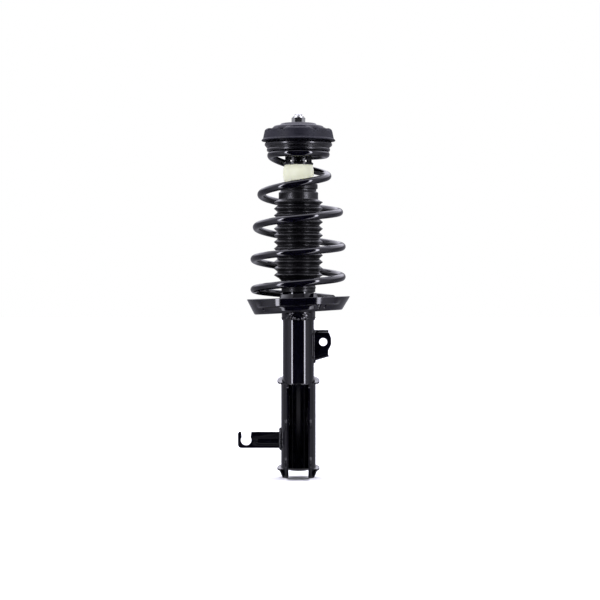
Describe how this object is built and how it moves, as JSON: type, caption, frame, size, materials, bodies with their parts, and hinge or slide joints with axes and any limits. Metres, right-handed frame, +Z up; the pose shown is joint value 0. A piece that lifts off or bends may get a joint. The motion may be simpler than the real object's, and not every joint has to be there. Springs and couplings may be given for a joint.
{
  "type": "suspension strut assembly",
  "caption": "Front suspension strut: damper in a coil spring with dust boot, spring seats, bearing top mount, steering knuckle clevis, link arm and hose hook.",
  "frame": {"origin": "on the damper's axis, level with the lowest edge of the knuckle bracket's ears", "axes": "+Z up along the damper's axis towards the top mount, -Y out of the open side of the knuckle bracket, +X towards the stabiliser link arm"},
  "size_m": [0.1948, 0.1822, 0.639],
  "materials": {
    "gloss_black": "smooth gloss black electrocoat over pressed steel",
    "spring_black": "gloss black powder coat on spring wire",
    "satin_black": "satin black electrocoat",
    "mount_rubber": "matt moulded rubber",
    "boot_rubber": "matt moulded bellows rubber",
    "seal_rubber": "plain black rubber",
    "moulded_black": "glass-filled nylon, moulded, half gloss",
    "stop_foam": "cream closed-cell polyurethane foam with a fine skin",
    "rod_chrome": "hard chrome, ground and polished, with a bright machined thread",
    "zinc_plate": "bright zinc plate with a faint yellow passivate",
    "drawn_steel": "drawn or turned mild steel",
    "bearing_steel": "hardened and ground bearing steel",
    "sintered_steel": "grey sintered steel",
    "bronze": "bronze-backed plain bearing",
    "ptfe": "filled low-friction polymer",
    "cage_nylon": "natural nylon"
  },
  "bodies": {
    "strut_body": {"reserve_tube": "gloss_black", "tube_base": "gloss_black", "pressure_tube": "drawn_steel", "base_valve": "sintered_steel", "rod_guide": "sintered_steel", "guide_bush": "bronze", "oil_seal": "seal_rubber", "striker_cap": "drawn_steel", "lower_spring_seat": "gloss_black", "seat_collar": "gloss_black", "seat_weld": "gloss_black", "lower_spring_pad": "seal_rubber", "knuckle_bracket": "gloss_black", "knuckle_welds": "gloss_black", "link_bracket": "gloss_black", "link_weld": "gloss_black", "hose_bracket": "gloss_black", "hose_weld": "gloss_black", "coil_spring": "spring_black", "dust_boot": "boot_rubber"},
    "spring_top": {"upper_spring_seat": "moulded_black", "top_spring_pad": "seal_rubber", "lower_race": "bearing_steel", "bump_stop": "stop_foam"},
    "bearing_cage": {"ball_cage": "cage_nylon", "bearing_balls": "bearing_steel"},
    "top_mount": {"mount_rubber": "mount_rubber", "mount_core": "drawn_steel", "mount_plate": "drawn_steel", "retaining_nut": "zinc_plate", "upper_race": "bearing_steel", "bearing_cover": "moulded_black", "piston_rod": "rod_chrome", "piston": "sintered_steel", "piston_band": "ptfe", "valve_discs": "drawn_steel", "piston_nut": "drawn_steel", "rebound_stop": "drawn_steel"},
    "retainer": {"tower_cup": "satin_black"},
    "nut": {"top_nut": "zinc_plate"}
  },
  "joints": [
    {"name": "strut_stroke", "type": "slide", "parent": "strut_body", "child": "spring_top", "axis": [0, 0, -1], "range_m": [0, 0.118], "stiffness_N_per_m": 22000, "springref_m": -0.04, "deforming": ["coil_spring", "dust_boot"]},
    {"name": "bearing_turn", "type": "hinge", "parent": "spring_top", "child": "top_mount", "pos_m": [0, 0, 0.583], "axis": [0, 0, 1], "range_deg": [-40, 40]},
    {"name": "cage_turn", "type": "hinge", "parent": "spring_top", "child": "bearing_cage", "pos_m": [0, 0, 0.583], "axis": [0, 0, 1], "range_deg": [-20, 20]},
    {"name": "nut_lift", "type": "slide", "parent": "top_mount", "child": "nut", "axis": [0, 0, 1], "range_m": [0, 0.06]},
    {"name": "cup_lift", "type": "slide", "parent": "top_mount", "child": "retainer", "axis": [0, 0, 1], "range_m": [0, 0.03]}
  ],
  "couplings": [
    {"joint": "cage_turn", "follows": "bearing_turn", "ratio": 0.5},
    {"joint": "cup_lift", "follows": "nut_lift", "ratio": 0.5}
  ]
}
